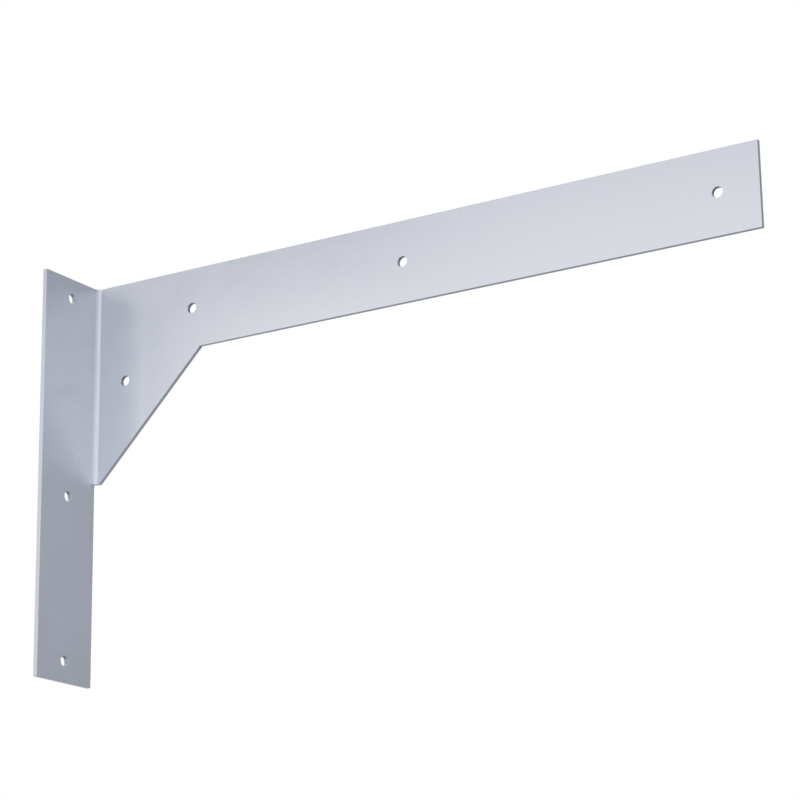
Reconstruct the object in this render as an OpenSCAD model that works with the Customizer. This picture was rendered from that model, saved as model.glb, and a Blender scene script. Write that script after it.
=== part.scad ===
// Vanity support bracket: one piece of sheet steel, cut to its outline and folded once.
// The wall plate stands against the wall. The arm reaches out from the plate's folded edge,
// on edge, and a gusset under its root stiffens the fold.
// X runs out from the wall along the arm, Z is up, and the arm lies on the plate's +Y side.
// The origin is the centre of the wall plate's back face. Lengths are in millimetres.

/* [Sheet] */
// Thickness of the sheet
sheet_t = 2.78; // [1.5:0.01:4]
// Inside radius of the fold between the wall plate and the arm
bend_r = 3.175; // [1:0.005:6]

/* [Wall plate] */
// Width of the wall plate, from its free edge to the arm's inner face
plate_w = 50.8; // [40:0.1:80]
// Height of the wall plate
plate_h = 254; // [230:0.5:400]

/* [Arm] */
// Reach of the arm, from the wall to its tip
arm_reach = 457.2; // [320:0.1:600]
// Depth of the arm beyond the gusset
arm_d = 50.8; // [32:0.1:65]

/* [Gusset] */
// How far the gusset's slanted edge runs out under the arm
gusset_w = 76.2; // [60:0.1:140]
// How far the gusset's slanted edge drops below the arm
gusset_h = 76.2; // [60:0.1:95]
// Flat edge at the gusset's foot, from the end of the fold to the slanted edge
foot_w = 0.4; // [0.2:0.05:12]

/* [Holes] */
// Diameter of each screw hole
hole_d = 6.53; // [4:0.01:9]
// Upper wall hole, below the plate's top edge
wall_hole_top = 12.7; // [8:0.1:30]
// Middle wall hole, below the gusset's foot
wall_hole_mid = 12.7; // [8:0.1:30]
// Lower wall hole, above the plate's bottom edge
wall_hole_base = 12.7; // [8:0.1:30]
// Outer arm hole, back from the arm's tip
arm_hole_tip = 25.4; // [8:0.1:60]
// Middle arm hole, out from the wall
arm_hole_mid = 228.6; // [140:0.1:250]
// Inner arm hole, out from the wall
arm_hole_root = 76.2; // [50:0.1:120]
// Gusset hole, out from the wall
gusset_hole_out = 25.4; // [18:0.1:35]
// Gusset hole, below the arm's top edge
gusset_hole_drop = 63.5; // [50:0.1:68]

/* [Hidden] */
$fn = 96;

// Heights of the plate's two ends, and of the gusset's foot where the fold stops
top_z = plate_h / 2;
base_z = -plate_h / 2;
root_h = arm_d + gusset_h;
foot_z = top_z - root_h;

// The plate's free edge, the arm's two faces, and where the flat of each side of the fold begins
free_y = -plate_w / 2;
arm_in_y = plate_w / 2;
arm_out_y = arm_in_y + sheet_t;
fold_y = arm_in_y - bend_r;
fold_x = sheet_t + bend_r;

// The slanted edge's two ends, and the arm's underside
slant_foot_x = fold_x + foot_w;
slant_arm_x = slant_foot_x + gusset_w;
arm_under_z = top_z - arm_d;

// Hole places: up the middle of the wall plate, and along the middle of the arm
wall_hole_zs = [top_z - wall_hole_top, foot_z - wall_hole_mid, base_z + wall_hole_base];
arm_hole_xs = [arm_hole_root, arm_hole_mid, arm_reach - arm_hole_tip];
arm_hole_z = top_z - arm_d / 2;
gusset_hole_z = top_z - gusset_hole_drop;

// Length by which a hole's cutter passes each face
cut = 1;

// Flat of the wall plate, its full width below the gusset's foot and narrower beside the fold
module wall_flat() {
    rotate([90, 0, 90])
        linear_extrude(sheet_t)
            polygon([
                [free_y, base_z],
                [arm_in_y, base_z],
                [arm_in_y, foot_z],
                [fold_y, foot_z],
                [fold_y, top_z],
                [free_y, top_z]
            ]);
}

// Quarter turn of sheet that joins the wall plate to the arm
module fold() {
    translate([fold_x, fold_y, foot_z])
        rotate([0, 0, 90])
            rotate_extrude(angle = 90)
                translate([bend_r, 0])
                    square([sheet_t, root_h]);
}

// Flat of the arm with its gusset
module arm_flat() {
    translate([0, arm_out_y, 0])
        rotate([90, 0, 0])
            linear_extrude(sheet_t)
                polygon([
                    [fold_x, foot_z],
                    [slant_foot_x, foot_z],
                    [slant_arm_x, arm_under_z],
                    [arm_reach, arm_under_z],
                    [arm_reach, top_z],
                    [fold_x, top_z]
                ]);
}

// Cutter for a hole through the wall plate at height z
module wall_hole(z) {
    translate([-cut, 0, z])
        rotate([0, 90, 0])
            cylinder(h = sheet_t + 2 * cut, d = hole_d);
}

// Cutter for a hole through the arm at x, z
module arm_hole(x, z) {
    translate([x, arm_out_y + cut, z])
        rotate([90, 0, 0])
            cylinder(h = sheet_t + 2 * cut, d = hole_d);
}

// The whole bracket
module bracket() {
    color([0.77, 0.79, 0.84])
        difference() {
            union() {
                wall_flat();
                fold();
                arm_flat();
            }
            for (z = wall_hole_zs) {
                wall_hole(z);
            }
            for (x = arm_hole_xs) {
                arm_hole(x, arm_hole_z);
            }
            arm_hole(gusset_hole_out, gusset_hole_z);
        }
}

bracket();
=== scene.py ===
import math

import bmesh
import bpy
from mathutils import Matrix, Vector


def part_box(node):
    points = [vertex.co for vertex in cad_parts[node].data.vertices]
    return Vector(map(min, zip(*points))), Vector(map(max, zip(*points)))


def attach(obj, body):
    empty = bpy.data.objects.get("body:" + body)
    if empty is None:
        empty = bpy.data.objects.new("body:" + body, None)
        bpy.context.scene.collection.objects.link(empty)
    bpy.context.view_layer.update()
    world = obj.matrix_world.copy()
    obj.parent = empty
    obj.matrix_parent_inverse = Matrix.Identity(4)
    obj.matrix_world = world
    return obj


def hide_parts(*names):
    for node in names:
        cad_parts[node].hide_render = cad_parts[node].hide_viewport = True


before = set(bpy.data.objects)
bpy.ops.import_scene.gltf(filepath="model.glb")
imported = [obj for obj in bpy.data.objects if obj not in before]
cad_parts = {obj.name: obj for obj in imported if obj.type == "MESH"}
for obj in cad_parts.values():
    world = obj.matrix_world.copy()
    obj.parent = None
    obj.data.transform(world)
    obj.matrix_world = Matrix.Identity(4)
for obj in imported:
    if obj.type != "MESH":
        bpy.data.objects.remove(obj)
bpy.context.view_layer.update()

MM = 0.001

# The bracket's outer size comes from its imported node, in millimetres
BOX_LOW, BOX_HIGH = (Vector(corner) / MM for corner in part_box("bracket"))
FREE_Y = BOX_LOW.y
ARM_OUT_Y = BOX_HIGH.y
TIP_X = BOX_HIGH.x
TOP_Z = BOX_HIGH.z
BASE_Z = BOX_LOW.z

# Sheet and fold
SHEET_T = 2.78
BEND_R = 3.175
ARM_IN_Y = ARM_OUT_Y - SHEET_T
FOLD_X = SHEET_T + BEND_R
FOLD_Y = ARM_IN_Y - BEND_R

# Arm and gusset
ARM_D = 50.8
GUSSET_W = 76.2
GUSSET_H = 76.2
FOOT_W = 0.4
UNDER_Z = TOP_Z - ARM_D
FOOT_Z = UNDER_Z - GUSSET_H
SLANT_FOOT_X = FOLD_X + FOOT_W
SLANT_ARM_X = SLANT_FOOT_X + GUSSET_W

# Holes, each placed from an edge of the sheet or from the wall
HOLE_D = 6.53
WALL_HOLE_TOP = 12.7
WALL_HOLE_MID = 12.7
WALL_HOLE_BASE = 12.7
ARM_HOLE_TIP = 25.4
ARM_HOLE_MID = 228.6
ARM_HOLE_ROOT = 76.2
GUSSET_HOLE_OUT = 25.4
GUSSET_HOLE_DROP = 63.5

# The holes' radius and centres: up the middle of the wall plate, and then (x, z) along the arm
HOLE_R = HOLE_D / 2
WALL_HOLE_ZS = (TOP_Z - WALL_HOLE_TOP, FOOT_Z - WALL_HOLE_MID, BASE_Z + WALL_HOLE_BASE)
ARM_HOLE_Z = TOP_Z - ARM_D / 2
ARM_HOLES = (
    (GUSSET_HOLE_OUT, TOP_Z - GUSSET_HOLE_DROP),
    (ARM_HOLE_ROOT, ARM_HOLE_Z),
    (ARM_HOLE_MID, ARM_HOLE_Z),
    (TIP_X - ARM_HOLE_TIP, ARM_HOLE_Z),
)

# Fineness of the round forms, the turn that counts as an edge, and the break left there by deburring
HALF_HOLE_STEPS = 36
FOLD_STEPS = 28
EDGE_TURN = math.radians(30)
EDGE_BREAK = 0.12
BREAK_STEPS = 2

# Finishes, in the order of the piece's material slots
ROLLED = 0
CUT = 1
DRILLED = 2
EASED = 3


def arc(centre, radius, start, end, steps):
    """Points on an arc about centre, in the plane of a face, with both ends."""
    angles = [start + (end - start) * i / steps for i in range(steps + 1)]
    return [(centre[0] + radius * math.cos(a), centre[1] + radius * math.sin(a)) for a in angles]


def under_z(x):
    """Height of the arm's lower outline at x: the gusset's foot, its slanted edge, or the underside."""
    drop = (SLANT_ARM_X - x) * GUSSET_H / GUSSET_W
    return UNDER_Z - min(max(drop, 0.0), GUSSET_H)


def wall_half(side):
    """Outline (y, z) of the wall plate on one side of the line through its holes.
    side is -1 towards the free edge, and 1 towards the fold."""
    if side < 0:
        outline = [(FREE_Y, BASE_Z), (FREE_Y, TOP_Z)]
    else:
        outline = [(ARM_IN_Y, BASE_Z), (ARM_IN_Y, FOOT_Z), (FOLD_Y, FOOT_Z), (FOLD_Y, TOP_Z)]
    outline.append((0, TOP_Z))
    for z in sorted(WALL_HOLE_ZS, reverse=True):
        outline += arc((0, z), HOLE_R, math.pi / 2, math.pi / 2 - side * math.pi, HALF_HOLE_STEPS)
    outline.append((0, BASE_Z))
    return outline


def arm_band(left, right):
    """Outline (x, z) of the arm between two upright lines. Each line is (x, height of its hole or None)."""
    (x0, z0), (x1, z1) = left, right
    corners = [x for x in (SLANT_FOOT_X, SLANT_ARM_X) if x0 < x < x1]
    outline = [(x, under_z(x)) for x in (x0, *corners, x1)]
    if z1 is not None:
        outline += arc((x1, z1), HOLE_R, -math.pi / 2, -3 * math.pi / 2, HALF_HOLE_STEPS)
    outline += [(x1, TOP_Z), (x0, TOP_Z)]
    if z0 is not None:
        outline += arc((x0, z0), HOLE_R, math.pi / 2, -math.pi / 2, HALF_HOLE_STEPS)
    return outline


def fold_angles():
    """Angles across the fold, from the plate to the arm. One lies where the outside of the fold
    passes the end of the plate's full width, so that the foot's faces meet in shared corners."""
    meeting = math.asin((ARM_IN_Y - FOLD_Y) / FOLD_X)
    first = round(FOLD_STEPS * meeting / (math.pi / 2))
    before = [meeting * i / first for i in range(first)]
    after = FOLD_STEPS - first
    return before + [meeting + (math.pi / 2 - meeting) * i / after for i in range(after + 1)], meeting


def fold_point(radius, angle):
    """Place (x, y) on the inside or outside of the fold."""
    return (FOLD_X - radius * math.cos(angle), FOLD_Y + radius * math.sin(angle))


class Shell:
    """A closed surface made face by face, in millimetres. Corners at one place share a vertex."""

    PLACE_DIGITS = 4

    def __init__(self):
        self.bm = bmesh.new()
        self.corners = {}

    def corner(self, place):
        key = tuple(round(v, self.PLACE_DIGITS) for v in place)
        if key not in self.corners:
            self.corners[key] = self.bm.verts.new([v * MM for v in place])
        return self.corners[key]

    def face(self, places, finish):
        face = self.bm.faces.new([self.corner(place) for place in places])
        face.material_index = finish
        face.smooth = True

    def strip(self, pairs, finish):
        """One four-sided face between each pair of places and the next."""
        for (a, b), (c, d) in zip(pairs, pairs[1:]):
            self.face((a, c, d, b), finish)


def add_skins(shell):
    """The sheet's two rolled faces: across the wall plate, round the fold and along the arm."""
    for x in (SHEET_T, 0):
        for side in (-1, 1):
            shell.face([(x, y, z) for y, z in wall_half(side)], ROLLED)
    angles, _ = fold_angles()
    for radius in (BEND_R, FOLD_X):
        places = [fold_point(radius, a) for a in angles]
        shell.strip([((x, y, FOOT_Z), (x, y, TOP_Z)) for x, y in places], ROLLED)
    lines = [(FOLD_X, None), *ARM_HOLES, (TIP_X, None)]
    for y in (ARM_IN_Y, ARM_OUT_Y):
        for left, right in zip(lines, lines[1:]):
            shell.face([(x, y, z) for x, z in arm_band(left, right)], ROLLED)


def add_edges(shell):
    """The cut faces round the sheet's outline."""
    angles, _ = fold_angles()
    plate = [((SHEET_T, y, TOP_Z), (0, y, TOP_Z)) for y in (FREE_Y, 0)]
    fold = [((*fold_point(BEND_R, a), TOP_Z), (*fold_point(FOLD_X, a), TOP_Z)) for a in angles]
    hole_xs = [x for x, _ in ARM_HOLES]
    arm = [((x, ARM_IN_Y, TOP_Z), (x, ARM_OUT_Y, TOP_Z)) for x in (*hole_xs, TIP_X)]
    shell.strip(plate + fold + arm, CUT)
    shell.strip([((TIP_X, ARM_IN_Y, z), (TIP_X, ARM_OUT_Y, z)) for z in (TOP_Z, UNDER_Z)], CUT)
    under_xs = sorted((SLANT_FOOT_X, SLANT_ARM_X, *hole_xs, TIP_X))
    shell.strip([((x, ARM_IN_Y, under_z(x)), (x, ARM_OUT_Y, under_z(x))) for x in under_xs], CUT)
    shell.strip([((SHEET_T, y, BASE_Z), (0, y, BASE_Z)) for y in (FREE_Y, 0, ARM_IN_Y)], CUT)
    shell.strip([((SHEET_T, FREE_Y, z), (0, FREE_Y, z)) for z in (BASE_Z, TOP_Z)], CUT)


def add_foot(shell):
    """The level faces where the fold stops, and the plate's edge below them."""
    angles, meeting = fold_angles()
    meeting_x, _ = fold_point(FOLD_X, meeting)
    behind = [fold_point(FOLD_X, a) for a in angles if a <= meeting]
    under = [fold_point(FOLD_X, a) for a in angles if a >= meeting]
    inside = [fold_point(BEND_R, a) for a in angles]
    ledge = [*behind, (0, ARM_IN_Y)]
    shell.face([(x, y, FOOT_Z) for x, y in ledge], CUT)
    arm_end = [(SLANT_FOOT_X, ARM_IN_Y), (SLANT_FOOT_X, ARM_OUT_Y)]
    foot = [*inside, *arm_end, *reversed(under), (SHEET_T, ARM_IN_Y)]
    shell.face([(x, y, FOOT_Z) for x, y in foot], CUT)
    side = [(0, BASE_Z), (SHEET_T, BASE_Z), (SHEET_T, FOOT_Z), (meeting_x, FOOT_Z), (0, FOOT_Z)]
    shell.face([(x, ARM_IN_Y, z) for x, z in side], CUT)


def add_hole_walls(shell):
    """The round wall of each hole, through the plate and through the arm."""
    for z in WALL_HOLE_ZS:
        rim = arc((0, z), HOLE_R, math.pi / 2, 5 * math.pi / 2, 2 * HALF_HOLE_STEPS)
        shell.strip([((SHEET_T, y, z), (0, y, z)) for y, z in rim], DRILLED)
    for x, z in ARM_HOLES:
        rim = arc((x, z), HOLE_R, math.pi / 2, 5 * math.pi / 2, 2 * HALF_HOLE_STEPS)
        shell.strip([((x, ARM_IN_Y, z), (x, ARM_OUT_Y, z)) for x, z in rim], DRILLED)


def mark_edges(bm):
    """Outward corners get the bevel's full weight. Inward ones stay sharp."""
    weight = bm.edges.layers.float.new("bevel_weight_edge")
    for edge in bm.edges:
        turn = edge.calc_face_angle_signed()
        if turn > EDGE_TURN:
            edge[weight] = 1.0
        elif turn < -EDGE_TURN:
            edge.smooth = False


def folded_sheet(materials):
    """The whole bracket as one closed mesh, with its edges broken as a deburred sheet's are."""
    shell = Shell()
    add_skins(shell)
    add_edges(shell)
    add_foot(shell)
    add_hole_walls(shell)
    bmesh.ops.recalc_face_normals(shell.bm, faces=shell.bm.faces)
    mark_edges(shell.bm)
    mesh = bpy.data.meshes.new("folded_sheet")
    shell.bm.to_mesh(mesh)
    shell.bm.free()
    for material in materials:
        mesh.materials.append(material)
    piece = bpy.data.objects.new("folded_sheet", mesh)
    bpy.context.collection.objects.link(piece)
    bevel = piece.modifiers.new("edge_break", "BEVEL")
    bevel.limit_method = "WEIGHT"
    bevel.width = EDGE_BREAK * MM
    bevel.segments = BREAK_STEPS
    bevel.use_clamp_overlap = False
    bevel.material = EASED
    normals = piece.modifiers.new("flat_faces", "WEIGHTED_NORMAL")
    normals.keep_sharp = True
    return piece


class Nodes:
    """Short calls for a node tree."""

    NOISE_LOW = 0.3
    NOISE_HIGH = 0.7

    def __init__(self, tree):
        self.tree = tree
        tree.nodes.clear()

    def add(self, kind, inputs=(), **settings):
        """A new node. Its inputs are linked where they are sockets, and set where they are values."""
        node = self.tree.nodes.new(kind)
        for name, value in settings.items():
            setattr(node, name, value)
        for name, value in dict(inputs).items():
            if isinstance(value, bpy.types.NodeSocket):
                self.tree.links.new(value, node.inputs[name])
            else:
                node.inputs[name].default_value = value
        return node

    def link(self, output, socket):
        self.tree.links.new(output, socket)

    def math(self, operation, a, b):
        return self.add("ShaderNodeMath", {0: a, 1: b}, operation=operation).outputs[0]

    def spread(self, value, low, high):
        """Spreads a noise's usual values over low to high."""
        usual = {"From Min": self.NOISE_LOW, "From Max": self.NOISE_HIGH}
        inputs = {"Value": value, **usual, "To Min": low, "To Max": high}
        return self.add("ShaderNodeMapRange", inputs).outputs["Result"]

    def vary(self, value, amount):
        """Turns a noise value into a change of up to amount either way."""
        return self.spread(value, -amount, amount)

    def noise(self, place, size, detail):
        """Noise with features of the given size (x, y, z) in millimetres."""
        scale = [1 / (s * MM) for s in size]
        mapped = self.add("ShaderNodeMapping", {"Vector": place, "Scale": scale}).outputs["Vector"]
        inputs = {"Vector": mapped, "Scale": 1.0, "Detail": detail}
        return self.add("ShaderNodeTexNoise", inputs).outputs["Fac"]

    def through_sheet(self, place, size, detail):
        """Noise with one size through the sheet's thickness and another across it. The thickness
        lies along X at the plate, and along Y at the arm."""
        depth, across = size
        plate = self.noise(place, (depth, across, across), detail)
        arm = self.noise(place, (across, depth, across), detail)
        x = self.add("ShaderNodeSeparateXYZ", {"Vector": place}).outputs["X"]
        on_arm = self.math("GREATER_THAN", x, FOLD_X * MM)
        return self.add("ShaderNodeMix", {"Factor": on_arm, "A": plate, "B": arm}).outputs["Result"]

    def colour(self, tone, dark, light):
        """The colour at tone, from 0 for dark to 1 for light."""
        mix = self.add("ShaderNodeMix", {"Factor": tone, "A": dark, "B": light}, data_type="RGBA")
        return mix.outputs["Result"]

    def bump(self, height, strength, depth):
        """Relief of the given depth in millimetres."""
        inputs = {"Height": height, "Strength": strength, "Distance": depth * MM}
        return self.add("ShaderNodeBump", inputs).outputs["Normal"]


def new_material(name):
    """A new material: (material, its nodes, its surface socket)."""
    material = bpy.data.materials.new(name)
    material.use_nodes = True
    nodes = Nodes(material.node_tree)
    return material, nodes, nodes.add("ShaderNodeOutputMaterial").inputs["Surface"]


def metal(name):
    """A new metal: (material, its nodes, the shader's inputs, place on the object)."""
    material, nodes, surface = new_material(name)
    shader = nodes.add("ShaderNodeBsdfPrincipled", {"Metallic": 1.0})
    nodes.link(shader.outputs["BSDF"], surface)
    place = nodes.add("ShaderNodeTexCoord").outputs["Object"]
    return material, nodes, shader.inputs, place


# Colours of the metal, linear
STEEL_LIGHT = (0.783, 0.803, 0.853, 1.0)
STEEL_DARK = (0.757, 0.777, 0.827, 1.0)
# The hole walls' colours are darker than the sheet's: painted shade for the inside of the holes
BORE_PAINTED_SHADE_LIGHT = (0.51, 0.53, 0.59, 1.0)
BORE_PAINTED_SHADE_DARK = (0.40, 0.42, 0.47, 1.0)

# Marks in the metal: their size along X, Y and Z in millimetres, and their levels of finer detail
ROLLING_LINES = ((14, 14, 0.22), 3.0)
ROLLED_MOTTLE = ((18, 18, 9), 2.0)
ROLLED_PEBBLE = ((0.5, 0.5, 0.5), 1.0)
CUT_MOTTLE = ((6, 6, 6), 2.0)
BORE_PATCHES = ((1.2, 1.2, 1.2), 2.0)
RUBBED_PATCHES = ((4, 4, 4), 2.0)

# The same for marks that turn with the sheet: their size through its thickness and across it
CUT_LINES = ((9, 0.35), 2.0)
BORE_RINGS = ((0.12, 4), 1.0)

# How much of the rolled faces' tone and relief comes from each kind of mark
LINES_TONE = 0.5
MOTTLE_TONE = 0.5
LINES_RELIEF = 0.7
PEBBLE_RELIEF = 0.3

# Roughness: a middle value for the rolled faces, a range for the others, and changes either way
ROLLED_ROUGHNESS = 0.30
CUT_ROUGHNESS = (0.30, 0.36)
BORE_ROUGHNESS = (0.24, 0.32)
EASED_ROUGHNESS = (0.26, 0.34)
LINES_CHANGE = 0.02
MOTTLE_CHANGE = 0.015
CUT_MOTTLE_CHANGE = 0.02

# Bump: its strength, and its depth in millimetres
ROLLED_BUMP = (0.15, 0.01)
CUT_BUMP = (0.3, 0.02)
BORE_BUMP = (0.3, 0.02)


def rolled_steel():
    """Satin mill finish: faint lines along the rolling direction, which is level on every face."""
    material, nodes, shader, place = metal("rolled_steel")
    lines = nodes.noise(place, *ROLLING_LINES)
    mottle = nodes.noise(place, *ROLLED_MOTTLE)
    pebble = nodes.noise(place, *ROLLED_PEBBLE)
    tone = nodes.math("ADD", nodes.spread(lines, 0, LINES_TONE), nodes.spread(mottle, 0, MOTTLE_TONE))
    nodes.link(nodes.colour(tone, STEEL_DARK, STEEL_LIGHT), shader["Base Color"])
    change = nodes.math("ADD", nodes.vary(lines, LINES_CHANGE), nodes.vary(mottle, MOTTLE_CHANGE))
    nodes.link(nodes.math("ADD", change, ROLLED_ROUGHNESS), shader["Roughness"])
    low_relief = nodes.math("MULTIPLY", lines, LINES_RELIEF)
    fine_relief = nodes.math("MULTIPLY", pebble, PEBBLE_RELIEF)
    relief = nodes.math("ADD", low_relief, fine_relief)
    nodes.link(nodes.bump(relief, *ROLLED_BUMP), shader["Normal"])
    return material


def cut_steel():
    """Cut faces: fine lines straight through the sheet."""
    material, nodes, shader, place = metal("cut_steel")
    lines = nodes.through_sheet(place, *CUT_LINES)
    mottle = nodes.noise(place, *CUT_MOTTLE)
    nodes.link(nodes.colour(lines, STEEL_DARK, STEEL_LIGHT), shader["Base Color"])
    change = nodes.vary(mottle, CUT_MOTTLE_CHANGE)
    nodes.link(nodes.math("ADD", nodes.spread(lines, *CUT_ROUGHNESS), change), shader["Roughness"])
    nodes.link(nodes.bump(lines, *CUT_BUMP), shader["Normal"])
    return material


def drilled_steel_painted_shade():
    """Hole walls: metal coloured darker than the sheet as painted shade inside the holes, with fine rings
    left round the hole by the drill.
    """
    material, nodes, shader, place = metal("drilled_steel_painted_shade")
    patches = nodes.noise(place, *BORE_PATCHES)
    nodes.link(nodes.colour(patches, BORE_PAINTED_SHADE_DARK, BORE_PAINTED_SHADE_LIGHT), shader["Base Color"])
    nodes.link(nodes.spread(patches, *BORE_ROUGHNESS), shader["Roughness"])
    rings = nodes.through_sheet(place, *BORE_RINGS)
    nodes.link(nodes.bump(rings, *BORE_BUMP), shader["Normal"])
    return material


def eased_steel():
    """The broken edges, rubbed a little smoother than the cut faces."""
    material, nodes, shader, place = metal("eased_steel")
    rub = nodes.noise(place, *RUBBED_PATCHES)
    nodes.link(nodes.colour(rub, STEEL_DARK, STEEL_LIGHT), shader["Base Color"])
    nodes.link(nodes.spread(rub, *EASED_ROUGHNESS), shader["Roughness"])
    return material


# The camera stands low in front of the arm's tip and looks up. Its place and the furthest distance
# that it draws are in metres, its turns in degrees, and its lens and sensor in millimetres
CAMERA_PLACE = (0.9971, -1.2257, -0.4170)
CAMERA_TURN = 31.657
CAMERA_RISE = 16.464
CAMERA_ROLL = -0.824
CAMERA_LENS = 119.33
CAMERA_SENSOR = 36
CAMERA_REACH = 100


def add_camera():
    """The camera at the photograph's angle."""
    data = bpy.data.cameras.new("camera")
    data.sensor_width = CAMERA_SENSOR
    data.lens = CAMERA_LENS
    data.clip_end = CAMERA_REACH
    camera = bpy.data.objects.new("camera", data)
    turn = Matrix.Rotation(math.radians(CAMERA_TURN), 4, "Z")
    rise = Matrix.Rotation(math.radians(90 + CAMERA_RISE), 4, "X")
    roll = Matrix.Rotation(math.radians(CAMERA_ROLL), 4, "Z")
    camera.matrix_world = Matrix.Translation(CAMERA_PLACE) @ turn @ rise @ roll
    bpy.context.collection.objects.link(camera)
    bpy.context.scene.camera = camera


WHITE = (1.0, 1.0, 1.0, 1.0)


def add_world():
    """A plain white surround."""
    world = bpy.data.worlds.new("studio")
    world.use_nodes = True
    bpy.context.scene.world = world
    nodes = Nodes(world.node_tree)
    white = nodes.add("ShaderNodeBackground", {"Color": WHITE, "Strength": 1.0})
    output = nodes.add("ShaderNodeOutputWorld")
    nodes.link(white.outputs["Background"], output.inputs["Surface"])


def panel(name, corners, material):
    """A flat stage panel through four corners, in metres."""
    mesh = bpy.data.meshes.new(name)
    mesh.from_pydata(corners, [], [(0, 1, 2, 3)])
    mesh.materials.append(material)
    flat = bpy.data.objects.new(name, mesh)
    bpy.context.collection.objects.link(flat)
    return flat


# The floor, in metres: its height, its half width, and the distances between which it fades to white
FLOOR_Z = -2.0
FLOOR_REACH = 30.0
FLOOR_FADE = (2.0, 11.0)
FLOOR_COLOUR = (0.82, 0.82, 0.82, 1.0)


def floor_paint():
    """Pale matt paint that fades into the white surround by its distance from the bracket."""
    material, nodes, surface = new_material("floor_paint")
    paint = nodes.add("ShaderNodeBsdfDiffuse", {"Color": FLOOR_COLOUR})
    white = nodes.add("ShaderNodeEmission", {"Color": WHITE})
    place = nodes.add("ShaderNodeTexCoord").outputs["Object"]
    level = {0: place, 1: (1.0, 1.0, 0.0)}
    out = nodes.add("ShaderNodeVectorMath", level, operation="MULTIPLY").outputs["Vector"]
    reach = nodes.add("ShaderNodeVectorMath", {0: out}, operation="LENGTH").outputs["Value"]
    near, far = FLOOR_FADE
    limits = {"Value": reach, "From Min": near, "From Max": far}
    fade = nodes.add("ShaderNodeMapRange", limits, interpolation_type="SMOOTHSTEP").outputs["Result"]
    both = {0: fade, 1: paint.outputs["BSDF"], 2: white.outputs["Emission"]}
    nodes.link(nodes.add("ShaderNodeMixShader", both).outputs["Shader"], surface)
    return material


def add_floor():
    """A plain pale floor well below the bracket."""
    signs = ((-1, -1), (1, -1), (1, 1), (-1, 1))
    panel("floor", [(x * FLOOR_REACH, y * FLOOR_REACH, FLOOR_Z) for x, y in signs], floor_paint())


# Tints of the studio's cards and lights: red, green and blue, linear
COOL = (0.93, 0.98, 1.08)
SOFT = (0.97, 0.99, 1.04)
WARM = (1.06, 1.01, 0.93)

# Softboxes in front of the arm: their shared place along Y, and then the ranges along X and Z of
# each, in metres, its brightness and its tint
SOFTBOX_Y = -0.60
SOFTBOXES = {
    "softbox_key": ((-0.40, -0.15), (-0.50, 0.35), 0.78, WARM),
    "softbox_fill": ((-0.15, 0.40), (-0.05, 0.45), 0.52, WARM),
    "softbox_tip": ((0.50, 1.05), (-0.60, 0.30), 0.68, SOFT),
}

# Cards round the bracket, seen only in the metal. Each side of the studio: its axis and place in
# metres. The front cards hang just behind the softboxes, and the near ones just before the back
BACK_Y = 0.60
CARD_GAP = 0.02
SIDES = {
    "front": (1, SOFTBOX_Y - CARD_GAP),
    "back": (1, BACK_Y),
    "back_near": (1, BACK_Y - CARD_GAP),
    "right": (0, 1.40),
    "top": (2, 0.90),
    "base": (2, -0.90),
}

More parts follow.
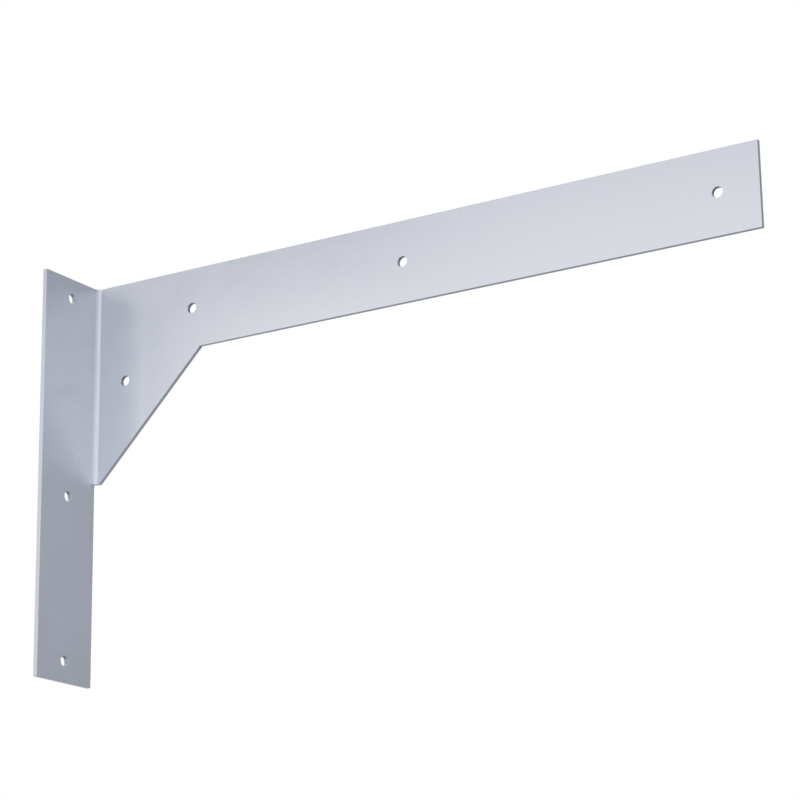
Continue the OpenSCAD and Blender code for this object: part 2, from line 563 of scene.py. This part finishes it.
# Each card: its side, its ranges along the other two axes in metres, its brightness and its tint.
# From the camera the arm mirrors the front cards, the wall plate and most cut faces the back ones,
# the fold the right ones, and the plate's hole walls the top and base ones
CARDS = {
    "front_grey": ("front", (-0.50, 1.05), (-0.60, 0.85), 0.45, COOL),
    "front_pale": ("front", (-1.00, -0.50), (-0.60, 0.85), 0.62, SOFT),
    "back_grey": ("back", (-0.80, 0.80), (-0.90, 0.90), 0.27, COOL),
    "back_dark": ("back", (0.80, 1.40), (-0.90, 0.90), 0.06, SOFT),
    "back_pale": ("back_near", (0.40, 0.65), (-0.05, 0.45), 0.60, COOL),
    "back_low": ("back_near", (-0.80, -0.25), (-0.90, -0.20), 0.45, SOFT),
    "right_front": ("right", (-0.60, 0.10), (-0.90, 0.50), 0.93, SOFT),
    "right_back": ("right", (0.10, 0.60), (-0.90, 0.50), 0.53, SOFT),
    "right_top": ("right", (-0.60, 0.60), (0.50, 0.90), 0.30, SOFT),
    "top_white": ("top", (-1.20, -0.25), (-0.60, 0.60), 1.10, SOFT),
    "top_grey": ("top", (-0.25, 1.40), (-0.60, 0.60), 0.80, SOFT),
    "base_dark": ("base", (-1.20, -0.25), (-0.60, 0.60), 0.32, COOL),
    "base_grey": ("base", (-0.25, 1.40), (-0.60, 0.60), 0.88, SOFT),
}


def glow(name, brightness, tint):
    """A material of plain light."""
    material, nodes, surface = new_material(name)
    light = nodes.add("ShaderNodeEmission", {"Color": (*tint, 1.0), "Strength": brightness})
    nodes.link(light.outputs["Emission"], surface)
    return material


def add_cards():
    """Flat glowing cards, seen by no ray but a glossy one."""
    for name, (side, first, second, brightness, tint) in CARDS.items():
        axis, place = SIDES[side]
        corners = []
        for i, j in ((0, 0), (1, 0), (1, 1), (0, 1)):
            corner = [first[i], second[j]]
            corner.insert(axis, place)
            corners.append(corner)
        card = panel(name, corners, glow(name, brightness, tint))
        for rays in ("camera", "diffuse", "transmission", "volume_scatter", "shadow"):
            setattr(card, "visible_" + rays, False)


def add_softboxes():
    """Upright area lights that face the arm. One of power P and area A is as bright as P / (pi A)."""
    for name, ((x0, x1), (z0, z1), brightness, tint) in SOFTBOXES.items():
        data = bpy.data.lights.new(name, "AREA")
        data.shape = "RECTANGLE"
        data.size = x1 - x0
        data.size_y = z1 - z0
        data.energy = brightness * math.pi * data.size * data.size_y
        data.color = tint
        light = bpy.data.objects.new(name, data)
        light.location = ((x0 + x1) / 2, SOFTBOX_Y, (z0 + z1) / 2)
        light.rotation_euler = (math.radians(90), 0, 0)
        light.visible_camera = False
        bpy.context.collection.objects.link(light)


piece = folded_sheet([rolled_steel(), cut_steel(), drilled_steel_painted_shade(), eased_steel()])
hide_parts("bracket")
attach(piece, "root")
add_camera()
add_world()
add_floor()
add_cards()
add_softboxes()

scene = bpy.context.scene
scene.view_settings.view_transform = "Standard"
